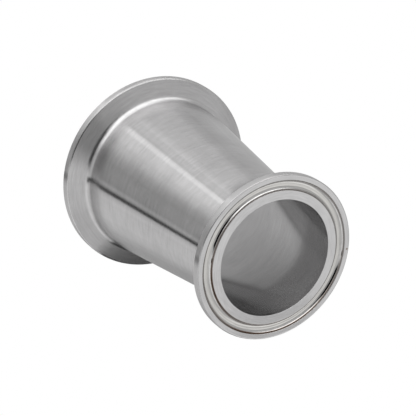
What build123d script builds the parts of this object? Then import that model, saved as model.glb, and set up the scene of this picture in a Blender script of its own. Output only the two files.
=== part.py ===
from build123d import *
from math import radians, tan
import os

# Sanitary concentric reducer with a clamp flange at each end, one piece of stainless steel.
# Millimetres. The axis is Z, the large end's mating face lies at Z = 0 and the small end is up.

# Whole fitting
overall_length = 76.2
wall = 1.25

# Large end
large_tube_diameter = 50.8
large_flange_overhang = 6.6     # how far the flange stands out from the tube, all round
large_straight = 12.7           # straight tube, measured from the mating face
large_outer_land = 1.7          # flat face between the gasket groove and the rim

# Small end
small_tube_diameter = 38.1
small_flange_overhang = 6.2
small_straight = 12.7
small_outer_land = 1.65

# Clamp flange, the same section at both ends
rim_thickness = 2.7
back_taper = 20.0               # degrees, the slope that the clamp wedges against
root_fillet = 2.5
rim_break = 0.35                # edge taken off at 45 degrees, as is every break
bore_break = 0.1

# Gasket groove in each mating face
groove_width = 3.1
groove_depth = 1.2
groove_draft = 14.0             # degrees, how far each side leans outwards
groove_floor_break = 0.8        # takes the floor's corners off, nearly to an arc


def end_corners(tube_diameter, overhang, straight, outer_land):
    """Corners of one end's section, from the bore across the mating face to the tube's outside.

    Each corner is its radius, its depth behind the mating face, how it is finished and by how much.
    """
    tube_radius = tube_diameter / 2
    bore_radius = tube_radius - wall
    rim_radius = tube_radius + overhang
    root_depth = rim_thickness + overhang * tan(radians(back_taper))
    groove_outer = rim_radius - outer_land
    groove_inner = groove_outer - groove_width
    lean = groove_depth * tan(radians(groove_draft))
    return [
        (bore_radius, straight, None, 0),
        (bore_radius, 0, chamfer, bore_break),
        (groove_inner, 0, None, 0),
        (groove_inner + lean, groove_depth, chamfer, groove_floor_break),
        (groove_outer - lean, groove_depth, chamfer, groove_floor_break),
        (groove_outer, 0, None, 0),
        (rim_radius, 0, chamfer, rim_break),
        (rim_radius, rim_thickness, chamfer, rim_break),
        (tube_radius, root_depth, fillet, root_fillet),
        (tube_radius, straight, None, 0),
    ]


def half_section():
    """The wall cut through on one side of the axis, as a face in the XZ plane."""
    corners = end_corners(large_tube_diameter, large_flange_overhang, large_straight, large_outer_land)
    small_end = end_corners(small_tube_diameter, small_flange_overhang, small_straight, small_outer_land)
    for radius, depth, finish, size in reversed(small_end):
        corners.append((radius, overall_length - depth, finish, size))
    points = [(radius, 0, height) for radius, height, finish, size in corners]
    section = make_face(Polyline(*points, close=True))
    for radius, height, finish, size in corners:
        if finish:
            vertex = section.vertices().sort_by_distance((radius, 0, height))[0]
            section = finish(vertex, size)
    return section


def reducer_body():
    """The half section turned once round the axis."""
    return revolve(half_section(), axis=Axis.Z)


os.makedirs("parts", exist_ok=True)
export_step(reducer_body(), "parts/reducer_body.step")
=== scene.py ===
from math import ceil, cos, degrees, hypot, pi, radians, sin, tan

import bpy
from mathutils import Matrix, Vector


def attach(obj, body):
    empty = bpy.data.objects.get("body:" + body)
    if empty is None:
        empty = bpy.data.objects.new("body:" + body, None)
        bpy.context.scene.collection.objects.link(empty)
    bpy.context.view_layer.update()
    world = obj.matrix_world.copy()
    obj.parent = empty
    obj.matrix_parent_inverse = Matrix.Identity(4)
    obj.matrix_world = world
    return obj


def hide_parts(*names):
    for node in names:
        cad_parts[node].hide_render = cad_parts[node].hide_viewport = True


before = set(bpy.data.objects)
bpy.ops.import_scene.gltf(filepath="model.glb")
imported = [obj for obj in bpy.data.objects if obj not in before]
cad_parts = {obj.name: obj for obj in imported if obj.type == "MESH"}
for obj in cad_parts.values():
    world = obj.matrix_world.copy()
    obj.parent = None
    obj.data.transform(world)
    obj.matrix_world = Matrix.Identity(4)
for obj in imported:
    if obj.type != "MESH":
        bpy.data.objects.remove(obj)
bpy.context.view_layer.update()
mm = 0.001
white = (1.0, 1.0, 1.0, 1.0)
scene = bpy.context.scene
print("frame loaded")


# The camera looks down into the small end, as in the photograph. Lengths in mm, angles in degrees.
view = {
    "place": (0.0, -268.7, 398.3),
    "aim": (-0.498, -1.52, 38.1),
    "roll": 125.58,
    "lens": 127.76,
    "filmWidth": 36.0,
    "nearest": 10.0,
    "farthest": 50000.0,
}


def placeCamera():
    place, aim = Vector(view["place"]), Vector(view["aim"])
    looking = (aim - place).to_track_quat("-Z", "Y").to_matrix().to_4x4()
    rolled = looking @ Matrix.Rotation(radians(view["roll"]), 4, "Z")
    data = bpy.data.cameras.new("camera")
    data.lens = view["lens"]
    data.sensor_width = view["filmWidth"]
    data.sensor_fit = "HORIZONTAL"
    data.clip_start = view["nearest"] * mm
    data.clip_end = view["farthest"] * mm
    camera = bpy.data.objects.new("camera", data)
    camera.matrix_world = Matrix.Translation(place * mm) @ rolled
    scene.collection.objects.link(camera)
    scene.camera = camera
    return (place - aim).normalized()


towardsCamera = placeCamera()
scene.view_settings.view_transform = "Standard"
print("camera placed")


# Node helpers
mixSockets = {"FLOAT": (2, 3, 0), "RGBA": (6, 7, 2)}   # the mix node's two inputs and its output


def addNode(tree, kind, inputs=None, **settings):
    # inputs are given by socket name or number: a value sets the socket, a socket is linked to it
    node = tree.nodes.new(kind)
    for name, value in settings.items():
        setattr(node, name, value)
    for key, value in (inputs or {}).items():
        if isinstance(value, bpy.types.NodeSocket):
            tree.links.new(value, node.inputs[key])
        else:
            node.inputs[key].default_value = value
    return node


def maths(tree, operation, *inputs):
    return addNode(tree, "ShaderNodeMath", dict(enumerate(inputs)), operation=operation).outputs[0]


def vectorMaths(tree, operation, inputs, result="Vector"):
    return addNode(tree, "ShaderNodeVectorMath", inputs, operation=operation).outputs[result]


def mix(tree, factor, first, second, kind="FLOAT"):
    # a mix of two numbers or two colours
    firstSocket, secondSocket, result = mixSockets[kind]
    inputs = {0: factor, firstSocket: first, secondSocket: second}
    return addNode(tree, "ShaderNodeMix", inputs, data_type=kind).outputs[result]


def smoothStep(tree, value, start, end, low=0.0, high=1.0):
    # goes smoothly from low to high while a value goes from start to end
    inputs = {"Value": value, "From Min": start, "From Max": end, "To Min": low, "To Max": high}
    return addNode(tree, "ShaderNodeMapRange", inputs, interpolation_type="SMOOTHSTEP").outputs[0]


def near(tree, value, place, reach):
    # 1 where a value is at a place, falling smoothly to 0 at a reach from it
    away = maths(tree, "ABSOLUTE", maths(tree, "SUBTRACT", value, place))
    return smoothStep(tree, away, 0.0, reach, 1.0, 0.0)


def varied(tree, base, noise, amount):
    # a base that noise moves up and down by an amount
    return maths(tree, "MULTIPLY_ADD", maths(tree, "SUBTRACT", noise, 0.5), amount * 2, base)


def newGroup(name, kind, inputs, outputs):
    tree = bpy.data.node_groups.new(name, kind)
    for way, sockets in (("INPUT", inputs), ("OUTPUT", outputs)):
        for label, socketKind in sockets:
            tree.interface.new_socket(label, in_out=way, socket_type=socketKind)
    return tree, tree.nodes.new("NodeGroupInput"), tree.nodes.new("NodeGroupOutput")


def newFinish(name):
    finish = bpy.data.materials.new(name)
    finish.use_nodes = True
    finish.node_tree.nodes.clear()
    return finish, finish.node_tree


# The reducer's section, in mm. It repeats the sizes of the CAD part and adds the small roundings.
reducer = {
    "length": 76.2,
    "wall": 1.25,
    "bigEnd": {"tube": 50.8, "overhang": 6.6, "straight": 12.7, "outerLand": 1.7},
    "smallEnd": {"tube": 38.1, "overhang": 6.2, "straight": 12.7, "outerLand": 1.65},
    "rimThickness": 2.7,
    "backTaper": 20.0,      # degrees
    "grooveWidth": 3.1,
    "grooveDepth": 1.2,
    "grooveDraft": 14.0,    # degrees
    "grooveEdgeRound": 0.15, "grooveFloorRound": 1.35, "boreRound": 0.1,
    "rimRound": 0.4, "rimBackRound": 0.85, "rootFillet": 2.5,
    "coneBend": 38.0, "coneBendInside": 30.0,
    "arcStep": 9.0,         # degrees of turn between two points on a rounding
    "leastArcSteps": 3,
    "guard": 0.02,          # a point this close to each end of a straight run keeps it flat
    "pointsRound": 360,     # points on each circle round the axis
    "rail": 40.0,           # radius of the circle that carries the section round
}


def rimRadius(end):
    return end["tube"] / 2 + end["overhang"]


def endCorners(end):
    # corners of one end, from the bore across the mating face to the tube: radius, depth, rounding
    part = reducer
    tube, rim, straight = end["tube"] / 2, rimRadius(end), end["straight"]
    bore = tube - part["wall"]
    rootDepth = part["rimThickness"] + end["overhang"] * tan(radians(part["backTaper"]))
    grooveOuter = rim - end["outerLand"]
    grooveInner = grooveOuter - part["grooveWidth"]
    lean = part["grooveDepth"] * tan(radians(part["grooveDraft"]))
    return [
        (bore, straight, part["coneBendInside"]),
        (bore, 0, part["boreRound"]),
        (grooveInner, 0, part["grooveEdgeRound"]),
        (grooveInner + lean, part["grooveDepth"], part["grooveFloorRound"]),
        (grooveOuter - lean, part["grooveDepth"], part["grooveFloorRound"]),
        (grooveOuter, 0, part["grooveEdgeRound"]),
        (rim, 0, part["rimRound"]),
        (rim, part["rimThickness"], part["rimBackRound"]),
        (tube, rootDepth, part["rootFillet"]),
        (tube, straight, part["coneBend"]),
    ]


def roundedCorner(before, corner, after, rounding):
    # the points that replace a corner: an arc, with a guard point on the straight run at each side
    toBefore, toAfter = (before - corner).normalized(), (after - corner).normalized()
    turn = pi - toBefore.angle(toAfter)
    reach = rounding * tan(turn / 2)
    centre = corner + (toBefore + toAfter).normalized() * hypot(reach, rounding)
    spoke = corner + toBefore * reach - centre
    side = 1 if toBefore.x * toAfter.y - toBefore.y * toAfter.x < 0 else -1
    steps = max(reducer["leastArcSteps"], ceil(degrees(turn) / reducer["arcStep"]))
    arc = [centre + Matrix.Rotation(side * turn * step / steps, 2) @ spoke for step in range(steps + 1)]
    guard = reach + reducer["guard"]
    return [corner + toBefore * guard, *arc, corner + toAfter * guard]


def sectionOutline():
    # the closed section: across the big end's face, up the outside, across the small face, down the bore
    corners = [(Vector((radius, depth)), rounding)
               for radius, depth, rounding in endCorners(reducer["bigEnd"])]
    corners += [(Vector((radius, reducer["length"] - depth)), rounding)
                for radius, depth, rounding in reversed(endCorners(reducer["smallEnd"]))]
    outline = []
    for index, (corner, rounding) in enumerate(corners):
        before = corners[index - 1][0]
        after = corners[(index + 1) % len(corners)][0]
        outline += roundedCorner(before, corner, after, rounding)
    return outline


def turningTree():
    # carries a closed section round a circle, which makes a turned piece with no seam
    tree, given, made = newGroup(
        "turnSection", "GeometryNodeTree",
        [("Section", "NodeSocketGeometry"), ("Points round", "NodeSocketInt"),
         ("Rail radius", "NodeSocketFloat"), ("Finish", "NodeSocketMaterial")],
        [("Turned piece", "NodeSocketGeometry")])
    section = addNode(tree, "GeometryNodeMeshToCurve", {"Mesh": given.outputs["Section"]})
    rail = addNode(tree, "GeometryNodeCurvePrimitiveCircle", {
        "Resolution": given.outputs["Points round"], "Radius": given.outputs["Rail radius"]})
    upright = addNode(tree, "GeometryNodeSetCurveNormal", {"Curve": rail.outputs["Curve"]}, mode="Z_UP")
    turned = addNode(tree, "GeometryNodeCurveToMesh", {
        "Curve": upright.outputs[0], "Profile Curve": section.outputs["Curve"]})
    smooth = addNode(tree, "GeometryNodeSetShadeSmooth", {
        "Geometry": turned.outputs["Mesh"], "Shade Smooth": True})
    whole = addNode(tree, "GeometryNodeRealizeInstances", {"Geometry": smooth.outputs[0]})
    finished = addNode(tree, "GeometryNodeSetMaterial", {
        "Geometry": whole.outputs[0], "Material": given.outputs["Finish"]})
    tree.links.new(finished.outputs[0], made.inputs["Turned piece"])
    return tree


def turnReducer(finish):
    rail = reducer["rail"]
    # the outline is taken backwards, so that the faces point out
    outline = [((point.x - rail) * mm, -point.y * mm, 0) for point in reversed(sectionOutline())]
    edges = [(index, (index + 1) % len(outline)) for index in range(len(outline))]
    section = bpy.data.meshes.new("section")
    section.from_pydata(outline, edges, [])
    blank = bpy.data.objects.new("blank", section)
    scene.collection.objects.link(blank)
    turning = blank.modifiers.new("turning", "NODES")
    turning.node_group = turningTree()
    sockets = {item.name: item.identifier
               for item in turning.node_group.interface.items_tree if item.in_out == "INPUT"}
    turning[sockets["Points round"]] = reducer["pointsRound"]
    turning[sockets["Rail radius"]] = rail * mm
    turning[sockets["Finish"]] = finish
    evaluated = blank.evaluated_get(bpy.context.evaluated_depsgraph_get())
    mesh = bpy.data.meshes.new_from_object(evaluated)
    bpy.data.objects.remove(blank)
    mesh.name = "reducer"
    piece = bpy.data.objects.new("reducer", mesh)
    scene.collection.objects.link(piece)
    return piece


# Brushed stainless steel. A turn is in degrees round the axis, 0 towards the camera and + towards +X.
steel = {
    "colour": (0.501, 0.4965, 0.498, 1.0),
    "roughness": 0.2,
    "faceRoughness": 0.07,   # on the mating faces and in their grooves
    "faceDepth": 1.5,        # mm, how far that finish reaches in from each end
    "rimRoughness": 0.34,
    "rimReach": 0.25,        # mm, how far that finish reaches in from each rim
    "brushing": 1.0,         # how far the gloss is drawn out across the brush lines
    "brushingTurn": 0.25,    # of a full turn, which lays the drawn-out gloss across the lines
    "lines": 2.4,            # brush lines for each mm across them
    "lineTurns": 5.0,        # how often they break up, for each radian round the axis
    "lineDetail": 3.0,
    "lineGrain": 0.6,        # how strong the finest lines are
    "lineShade": 0.19,       # how much they change the colour
    "lineDepth": 0.011,      # mm
    "patchSize": 11.0,       # mm, where the polish is a little uneven
    "patchDetail": 2.0,
    "patchShade": 0.13,
    "grooveColour": (0.506, 0.4965, 0.478, 1.0),   # a trace of compound yellows the groove
    "grooveReach": 0.6,      # share of the groove's width, from its middle to where the yellow ends
    # Polishing compound and painted shade, in a dark line along each edge of a groove: mm in from the edge,
    # half the line's width in mm, how dark it is at least and as a rule, how much that varies round the
    # groove, and the turn where it is darkest. The brown is compound; the swing round the groove is painted
    # shade.
    "compoundAndShade": (0.15, 0.092, 0.055, 1.0),
    "outerLine": {"inset": 0.2, "half": 0.3, "least": 0.2, "usual": 0.85, "varies": 0.65, "turn": 70.0},
    "innerLine": {"inset": 0.11, "half": 0.32, "least": 0.3, "usual": 0.5, "varies": 1.4, "turn": 115.0},
    "compoundShadeDepth": 0.35,   # mm down the groove's wall to the middle of each line
    "compoundShadeReach": 0.6,    # mm, half the line's height
    "nickTurn": -144.0,      # a small dark nick in the small end's face
    "nickRadius": 24.5,      # mm
    "nickSize": 0.5,         # mm, half its width
}


def facing(turn):
    # the level direction at a turn
    return Vector((sin(radians(turn)), -cos(radians(turn)), 0.0))


def brushLines(tree, place, outwards, radius):
    # noise drawn out round the axis: the same pattern on faces, cones and bores, with no seam
    across = steel["lines"] / mm
    around = vectorMaths(tree, "SCALE", {0: outwards, "Scale": steel["lineTurns"]})
    height = vectorMaths(tree, "MULTIPLY", {0: place, 1: (0.0, 0.0, across)})
    return addNode(tree, "ShaderNodeTexNoise", {
        "Vector": vectorMaths(tree, "ADD", {0: around, 1: height}),
        "W": maths(tree, "MULTIPLY", radius, across), "Scale": 1.0,
        "Detail": steel["lineDetail"], "Roughness": steel["lineGrain"]}, noise_dimensions="4D").outputs[0]


def compoundAndShadeLine(tree, middle, line, radius, outwards):
    # dark at one radius, and darker on one side of the groove: compound, with painted shade on that side
    aside = vectorMaths(tree, "DOT_PRODUCT", {0: outwards, 1: facing(line["turn"])}, "Value")
    darkness = maths(tree, "MULTIPLY_ADD", aside, line["varies"], line["usual"])
    darkness = maths(tree, "MAXIMUM", line["least"], darkness)
    return maths(tree, "MULTIPLY", near(tree, radius, middle * mm, line["half"] * mm), darkness)


def grooveMarks(tree, radius, outwards, atTop):
    # at each end, the compound and painted shade along both edges of the groove, and the yellow in it
    atBottom = maths(tree, "SUBTRACT", 1.0, atTop)
    outerLine, innerLine = steel["outerLine"], steel["innerLine"]
    lines = yellow = 0.0
    for end, atEnd in ((reducer["smallEnd"], atTop), (reducer["bigEnd"], atBottom)):
        outerEdge = rimRadius(end) - end["outerLand"]
        innerEdge = outerEdge - reducer["grooveWidth"]
        for middle, line in ((outerEdge - outerLine["inset"], outerLine),
                             (innerEdge + innerLine["inset"], innerLine)):
            drawn = compoundAndShadeLine(tree, middle, line, radius, outwards)
            lines = maths(tree, "MAXIMUM", lines, maths(tree, "MULTIPLY", drawn, atEnd))
        groove = near(tree, radius, (outerEdge - reducer["grooveWidth"] / 2) * mm,
                      reducer["grooveWidth"] * steel["grooveReach"] * mm)
        yellow = maths(tree, "MAXIMUM", yellow, maths(tree, "MULTIPLY", groove, atEnd))
    return lines, yellow


def nick(tree, place):
    spot = facing(steel["nickTurn"]) * steel["nickRadius"] + Vector((0.0, 0.0, reducer["length"]))
    away = vectorMaths(tree, "DISTANCE", {0: place, 1: spot * mm}, "Value")
    return near(tree, away, 0.0, steel["nickSize"] * mm)


def brushedSteel():
    finish, tree = newFinish("stainless_steel")
    place = addNode(tree, "ShaderNodeTexCoord").outputs["Object"]
    height = addNode(tree, "ShaderNodeSeparateXYZ", {0: place}).outputs["Z"]
    level = vectorMaths(tree, "MULTIPLY", {0: place, 1: (1.0, 1.0, 0.0)})
    radius = vectorMaths(tree, "LENGTH", {0: level}, "Value")
    outwards = vectorMaths(tree, "NORMALIZE", {0: level})
    middle = reducer["length"] * mm / 2
    fromMiddle = maths(tree, "ABSOLUTE", maths(tree, "SUBTRACT", height, middle))
    atTop = maths(tree, "GREATER_THAN", height, middle)
    onFace = maths(tree, "GREATER_THAN", fromMiddle, middle - steel["faceDepth"] * mm)
    rimStarts = [(rimRadius(reducer[end]) - steel["rimReach"]) * mm for end in ("bigEnd", "smallEnd")]
    onRim = maths(tree, "GREATER_THAN", radius, mix(tree, atTop, *rimStarts))

    # dark lines of compound and painted shade along the groove edges, down their walls
    lines, yellow = grooveMarks(tree, radius, outwards, atTop)
    lineHeight = middle - steel["compoundShadeDepth"] * mm
    onWall = near(tree, fromMiddle, lineHeight, steel["compoundShadeReach"] * mm)
    dark = maths(tree, "MAXIMUM", maths(tree, "MULTIPLY", lines, onWall), nick(tree, place))
    yellow = maths(tree, "MULTIPLY", yellow, onFace)

    brushed = brushLines(tree, place, outwards, radius)
    patches = addNode(tree, "ShaderNodeTexNoise", {
        "Vector": place, "Scale": 1 / (steel["patchSize"] * mm), "Detail": steel["patchDetail"]}).outputs[0]
    shade = varied(tree, varied(tree, 1.0, brushed, steel["lineShade"]), patches, steel["patchShade"])
    metal = mix(tree, yellow, steel["colour"], steel["grooveColour"], "RGBA")
    metal = vectorMaths(tree, "SCALE", {0: metal, "Scale": shade})
    # the compound's colour paints the groove-edge lines, partly compound and partly painted shade, and the
    # nick
    colour = mix(tree, dark, metal, steel["compoundAndShade"], "RGBA")
    roughness = mix(tree, onFace, steel["roughness"], steel["faceRoughness"])
    roughness = mix(tree, onRim, roughness, steel["rimRoughness"])
    relief = addNode(tree, "ShaderNodeBump", {
        "Strength": 1.0, "Distance": steel["lineDepth"] * mm, "Height": brushed})
    tangent = addNode(tree, "ShaderNodeTangent", direction_type="RADIAL", axis="Z")
    shader = addNode(tree, "ShaderNodeBsdfPrincipled", {
        "Base Color": colour, "Metallic": 1.0, "Roughness": roughness,
        "Anisotropic": steel["brushing"], "Anisotropic Rotation": steel["brushingTurn"],
        "Normal": relief.outputs[0], "Tangent": tangent.outputs[0]})
    addNode(tree, "ShaderNodeOutputMaterial", {"Surface": shader.outputs[0]})
    return finish


piece = turnReducer(brushedSteel())
print("reducer turned:", len(piece.data.polygons), "faces")


# Soft studio light. Each panel is placed by the facet of steel that throws it at the camera: the way
# the facet faces round the axis (turn) and how far it leans up from level (tilt), both in degrees.
# A later panel stands in front of an earlier one.
studio = {
    "strength": 1.1,
    "room": 0.62,            # the light where no panel stands
    "backdrop": 1.0,         # what the camera itself sees
    "uneven": 0.13,          # the light varies a little with the turn, which streaks the brushed steel
    "unevenStep": 2.5,       # degrees of turn
    "unevenDetail": 2.0,
    "leastSoftness": 0.01,   # degrees
    "panels": [
        # name, from turn, softness, to turn, softness, from tilt, to tilt, softness, light
        # seen in the body: low, all round
        ("left card", -48, 8, -21, 2, -60, 12, 6, 0.84),
        ("left card, edge", -30, 4, -22, 1.2, -60, 12, 6, 0.96),
        ("left gap", -21.5, 1, -15, 0.8, -60, 12, 6, 0.82),
        ("left gap, dark", -17.3, 0.8, -15, 0.8, -60, 12, 6, 0.66),
        ("left window", -15, 1.2, -10, 2, -60, 12, 6, 1.30),
        ("front left", -10, 2, 4, 11, -60, 12, 6, 0.95),
        ("front shade", 4, 11, 40, 3, -60, 12, 6, 0.31),
        ("before the seam", 27.5, 1.5, 29.8, 0.8, -60, 12, 6, 0.54),
        ("right card", 34.5, 1.2, 170, 5, -60, 12, 6, 0.82),
        ("far right", 64, 12, 170, 10, -60, 12, 6, 0.48),
        ("left card, low", -62, 8, -24, 6, -60, 3, 3, 0.12),
        ("front shade, low", -4, 5, 24, 3, -60, -1, 3, 0.85),
        # seen in the root fillets: at the height of the object
        ("level left, low", -50, 16, 7, 10, 15, 37, 6, 1.75),
        ("level front, low", 10, 9, 30, 4, 15, 36, 6, 0.69),
        ("level right, low", 30, 4, 62, 14, 15, 36, 6, 0.80),
        ("level far, low", 68, 12, 230, 14, 15, 36, 6, 0.2),
        ("level left, high", -66, 10, -10, 7, 36, 46, 2, 2.45),
        ("level left, edge", -17, 3, -5, 3, 24, 36, 3, 2.3),
        ("level right, high", 28, 8, 85, 9, 36, 56, 4, 1.02),
        ("level far, high", 87, 9, 230, 20, 36, 46, 4, 0.1),
        # seen in the flange backs: overhead
        ("overhead", -181, 0, 181, 0, 58, 84, 4, 0.59),
        ("overhead front", -7, 4, 15, 4, 57, 76, 3, 0.42),
        ("overhead right", 23, 6, 52, 10, 58, 82, 4, 0.78),
        ("left of the camera", -70, 10, -8, 4, 49, 58, 2, 0.68),
        ("beside the camera", -24, 4, -8, 4, 52, 59, 2, 0.35),
        ("camera, low", -3.5, 3, 24.5, 6, 37.5, 51, 2, 0.0),
        ("camera, high", -15.5, 2, 22, 2, 48.5, 60, 1.5, 0.0),
        # the dark line from flange to flange
        ("seam", 31.1, 0.7, 33.7, 0.7, -60, 34, 5, 0.03),
        ("seam, level", 31.2, 0.9, 34.9, 1, 23, 43, 3, 0.0),
        # seen in the mating faces
        ("tent", -181, 0, 181, 0, 78, 100, 3, 0.94),
        ("tent, left", -110, 15, -10, 15, 78, 86, 2, 1.12),
        ("tent, back", 100, 12, 178, 12, 68, 84.5, 3, 1.2),
        ("tent, right", 36, 12, 82, 10, 72, 85, 3, 0.74),
        ("tent, back right", 130, 8, 170, 10, 85.5, 88.4, 0.8, 0.64),
    ],
}


def panelGroup():
    # covers the light behind by a soft-edged panel
    labels = ("Turn", "Tilt", "Middle", "Half width", "Start softness", "End softness",
              "Bottom", "Top", "Edge softness", "Light", "Behind")
    tree, given, made = newGroup("softPanel", "ShaderNodeTree",
                                 [(label, "NodeSocketFloat") for label in labels],
                                 [("Light", "NodeSocketFloat")])
    socket = given.outputs

    def edge(value, place, softness):
        # rises from 0 to 1 across a soft edge
        return smoothStep(tree, value, maths(tree, "SUBTRACT", place, softness),
                          maths(tree, "ADD", place, softness))

    def within(rising, falling):
        return maths(tree, "MULTIPLY", rising, maths(tree, "SUBTRACT", 1.0, falling))

    away = maths(tree, "WRAP", maths(tree, "SUBTRACT", socket["Turn"], socket["Middle"]), 180.0, -180.0)
    start = maths(tree, "MULTIPLY", socket["Half width"], -1.0)
    sideways = within(edge(away, start, socket["Start softness"]),
                      edge(away, socket["Half width"], socket["End softness"]))
    upwards = within(edge(socket["Tilt"], socket["Bottom"], socket["Edge softness"]),
                     edge(socket["Tilt"], socket["Top"], socket["Edge softness"]))
    cover = maths(tree, "MULTIPLY", sideways, upwards)
    tree.links.new(mix(tree, cover, socket["Behind"], socket["Light"]), made.inputs["Light"])
    return tree


def hangPanels(tree, turn, tilt):
    light = studio["room"]
    group = panelGroup()
    for name, start, startSoft, end, endSoft, bottom, top, edgeSoft, level in studio["panels"]:
        panel = addNode(tree, "ShaderNodeGroup", {
            "Turn": turn, "Tilt": tilt, "Middle": (start + end) / 2, "Half width": (end - start) / 2,
            "Start softness": max(startSoft, studio["leastSoftness"]),
            "End softness": max(endSoft, studio["leastSoftness"]),
            "Bottom": bottom, "Top": top, "Edge softness": edgeSoft,
            "Light": level, "Behind": light}, node_tree=group, label=name)
        light = panel.outputs["Light"]
    return light


def lightStudio():
    world = bpy.data.worlds.new("studio")
    scene.world = world
    world.use_nodes = True
    tree = world.node_tree
    tree.nodes.clear()
    direction = addNode(tree, "ShaderNodeTexCoord").outputs["Generated"]
    halfway = vectorMaths(tree, "ADD", {0: direction, 1: towardsCamera})
    facet = vectorMaths(tree, "NORMALIZE", {0: halfway})
    facetX, facetY, facetZ = addNode(tree, "ShaderNodeSeparateXYZ", {0: facet}).outputs
    turn = maths(tree, "ARCTAN2", facetX, maths(tree, "MULTIPLY", facetY, -1.0))
    turn = maths(tree, "DEGREES", turn)
    tilt = maths(tree, "DEGREES", maths(tree, "ARCSINE", facetZ))
    uneven = addNode(tree, "ShaderNodeTexNoise", {
        "W": turn, "Scale": 1 / studio["unevenStep"], "Detail": studio["unevenDetail"]},
        noise_dimensions="1D").outputs[0]
    light = maths(tree, "MULTIPLY", hangPanels(tree, turn, tilt),
                  varied(tree, 1.0, uneven, studio["uneven"]))
    lit = addNode(tree, "ShaderNodeBackground", {"Color": light, "Strength": studio["strength"]})
    plain = addNode(tree, "ShaderNodeBackground", {"Color": white, "Strength": studio["backdrop"]})
    seen = addNode(tree, "ShaderNodeLightPath").outputs["Is Camera Ray"]
    both = addNode(tree, "ShaderNodeMixShader", {0: seen, 1: lit.outputs[0], 2: plain.outputs[0]})
    addNode(tree, "ShaderNodeOutputWorld", {"Surface": both.outputs[0]})


def addGlow(tree, light):
    # its own light, which nothing else in the studio changes
    glow = addNode(tree, "ShaderNodeEmission", {"Color": white, "Strength": light})
    addNode(tree, "ShaderNodeOutputMaterial", {"Surface": glow.outputs[0]})


def addSheet(name, corners, finish):
    mesh = bpy.data.meshes.new(name)
    mesh.from_pydata(corners, [], [tuple(range(len(corners)))])
    mesh.materials.append(finish)
    sheet = bpy.data.objects.new(name, mesh)
    scene.collection.objects.link(sheet)
    return sheet


# The white floor, which the camera sees and the steel doesn't
whiteFloor = {
    "half": 3000.0,   # mm from the middle to each side
    "light": 1.0,
}


def layFloor():
    paper, tree = newFinish("white_paper")
    addGlow(tree, whiteFloor["light"])
    half = whiteFloor["half"] * mm
    corners = [(-half, -half, 0), (half, -half, 0), (half, half, 0), (-half, half, 0)]
    floor = addSheet("floor", corners, paper)
    floor.visible_glossy = False


# The part of the floor that the steel sees through the bore. It glows with painted light, lighter towards
# one side, and painted shade of the flange towards its edge.
boreFloor = {
    "radius": 24.1,          # mm
    "points": 72,
    "lift": 0.01,            # mm above the white floor
    "light": 0.57,           # at the middle
    "acrossSlope": 0.0095,   # change of light for each mm along +X
    "alongSlope": 0.006,     # and along +Y
    "leastLight": 0.02,
    "shadeStart": 20.5,      # "shadeStart": 20.5, # mm from the middle, where the painted shade of the flange begins
    "shadeEnd": 24.0,
    "shade": 0.5,            # "shade": 0.5, # share of the light that the painted shade takes
}


def layBoreFloor():
    paper, tree = newFinish("paper_painted_light_and_shade")
    place = addNode(tree, "ShaderNodeTexCoord").outputs["Object"]
    across, along, height = addNode(tree, "ShaderNodeSeparateXYZ", {0: place}).outputs
    light = maths(tree, "MULTIPLY_ADD", across, boreFloor["acrossSlope"] / mm, boreFloor["light"])
    light = maths(tree, "MULTIPLY_ADD", along, boreFloor["alongSlope"] / mm, light)
    light = maths(tree, "MAXIMUM", light, boreFloor["leastLight"])
    fromMiddle = vectorMaths(tree, "LENGTH", {0: place}, "Value")
    unshaded = smoothStep(tree, fromMiddle, boreFloor["shadeStart"] * mm, boreFloor["shadeEnd"] * mm,
                          1.0, 1.0 - boreFloor["shade"])
    # painted light and painted shade, given off as glow
    addGlow(tree, maths(tree, "MULTIPLY", light, unshaded))
    radius, lift, points = boreFloor["radius"] * mm, boreFloor["lift"] * mm, boreFloor["points"]
    turns = [2 * pi * step / points for step in range(points)]
    corners = [(radius * cos(turn), radius * sin(turn), lift) for turn in turns]
    disc = addSheet("bore_floor", corners, paper)


# A low black card behind the large flange. It darkens the far side of the flange's back, and the camera
# doesn't see it.
blackCard = {
    "start": (115.0, 62.0),      # mm along X and Y
    "end": (-20.0, 125.0),
    "top": 76.0,
    "light": 0.03,
}


def standCard():
    matt, tree = newFinish("matt_black")
    addGlow(tree, blackCard["light"])
    start, end, top = blackCard["start"], blackCard["end"], blackCard["top"]
    corners = [(*start, 0.0), (*end, 0.0), (*end, top), (*start, top)]
    card = addSheet("black_card", [Vector(corner) * mm for corner in corners], matt)
    card.visible_camera = False


lightStudio()
layFloor()
layBoreFloor()
standCard()
print("studio lit")

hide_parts("reducer_body")
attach(piece, "root")
